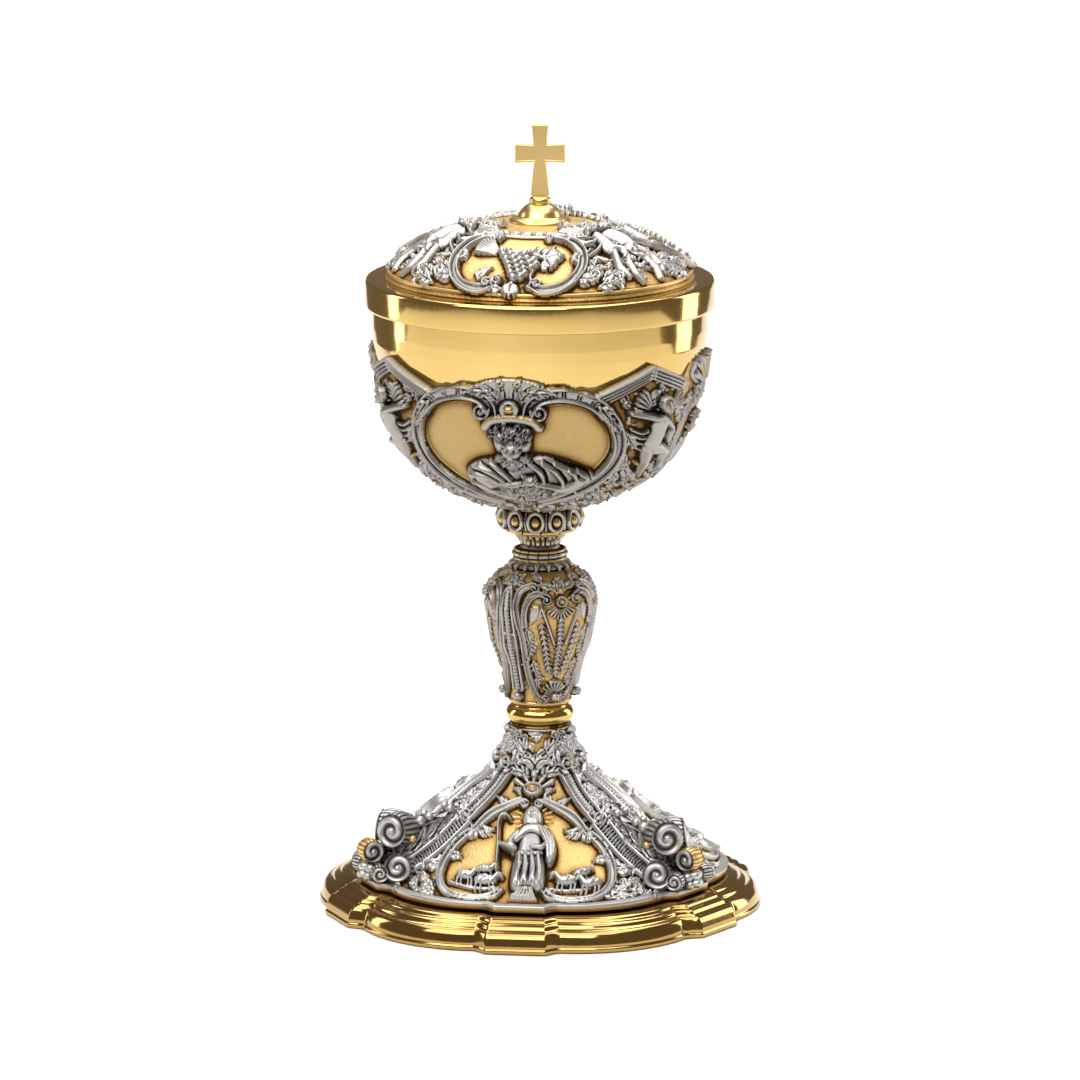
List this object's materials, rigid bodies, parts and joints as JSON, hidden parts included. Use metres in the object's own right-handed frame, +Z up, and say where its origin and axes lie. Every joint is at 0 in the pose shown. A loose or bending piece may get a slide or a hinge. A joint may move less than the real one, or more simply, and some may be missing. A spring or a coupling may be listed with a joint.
{
  "type": "covered ciborium",
  "caption": "Covered ciborium: gilt cup in a relief calyx on a baluster knop and spreading foot, with a domed lid and cross that lift off.",
  "frame": {"origin": "middle of the plinth's underside", "axes": "+Z up along the stem's axis, -Y towards the front panel of the foot"},
  "size_m": [0.161, 0.16, 0.284],
  "materials": {
    "gilt_plinth": "polished gilt, mirror bright",
    "gilt_stem": "polished gilt",
    "gilt_cup": "polished gilt, mirror bright",
    "silver_relief": "cast silver, oxidised dark in the hollows and polished on the high points",
    "silver_figures": "cast silver figures, oxidised dark in the hollows"
  },
  "bodies": {
    "vessel": {"base_plinth": "gilt_plinth", "calyx_bust_1": "silver_figures", "calyx_bust_2": "silver_figures", "calyx_bust_3": "silver_figures", "calyx_bust_4": "silver_figures", "calyx_crest_1": "silver_relief", "calyx_crest_2": "silver_relief", "calyx_crest_3": "silver_relief", "calyx_crest_4": "silver_relief", "calyx_frame_1": "silver_relief", "calyx_frame_2": "silver_relief", "calyx_frame_3": "silver_relief", "calyx_frame_4": "silver_relief", "calyx_gable_1": "silver_relief", "calyx_gable_2": "silver_relief", "calyx_gable_3": "silver_relief", "calyx_gable_4": "silver_relief", "calyx_putto_1": "silver_figures", "calyx_putto_2": "silver_figures", "calyx_putto_3": "silver_figures", "calyx_putto_4": "silver_figures", "calyx_shell": "silver_relief", "cup_bowl": "gilt_cup", "foot_console_1": "silver_relief", "foot_console_2": "silver_relief", "foot_console_3": "silver_relief", "foot_frame_1": "silver_relief", "foot_frame_2": "silver_relief", "foot_frame_3": "silver_relief", "foot_nut": "gilt_stem", "foot_ring": "gilt_stem", "foot_shell": "silver_relief", "foot_shepherd_1": "silver_figures", "foot_shepherd_2": "silver_figures", "foot_shepherd_3": "silver_figures", "foot_washer": "gilt_stem", "knop_body": "silver_relief", "knop_bracket_1": "silver_relief", "knop_bracket_2": "silver_relief", "knop_bracket_3": "silver_relief", "knop_cartouche_1": "silver_relief", "knop_cartouche_2": "silver_relief", "knop_cartouche_3": "silver_relief", "knop_collar": "gilt_stem", "neck_spool": "silver_relief", "stud_ring": "silver_relief", "tie_rod": "gilt_stem"},
    "lid": {"cross_finial": "gilt_stem", "lid_angels_1": "silver_figures", "lid_angels_2": "silver_figures", "lid_angels_3": "silver_figures", "lid_band": "gilt_cup", "lid_boss": "gilt_stem", "lid_cartouche_1": "silver_relief", "lid_cartouche_2": "silver_relief", "lid_cartouche_3": "silver_relief", "lid_dome": "silver_relief", "lid_nut": "gilt_stem"}
  },
  "joints": [
    {"name": "lid_lift", "type": "slide", "parent": "vessel", "child": "lid", "axis": [0, 0, 1], "range_m": [0, 0.08]}
  ]
}
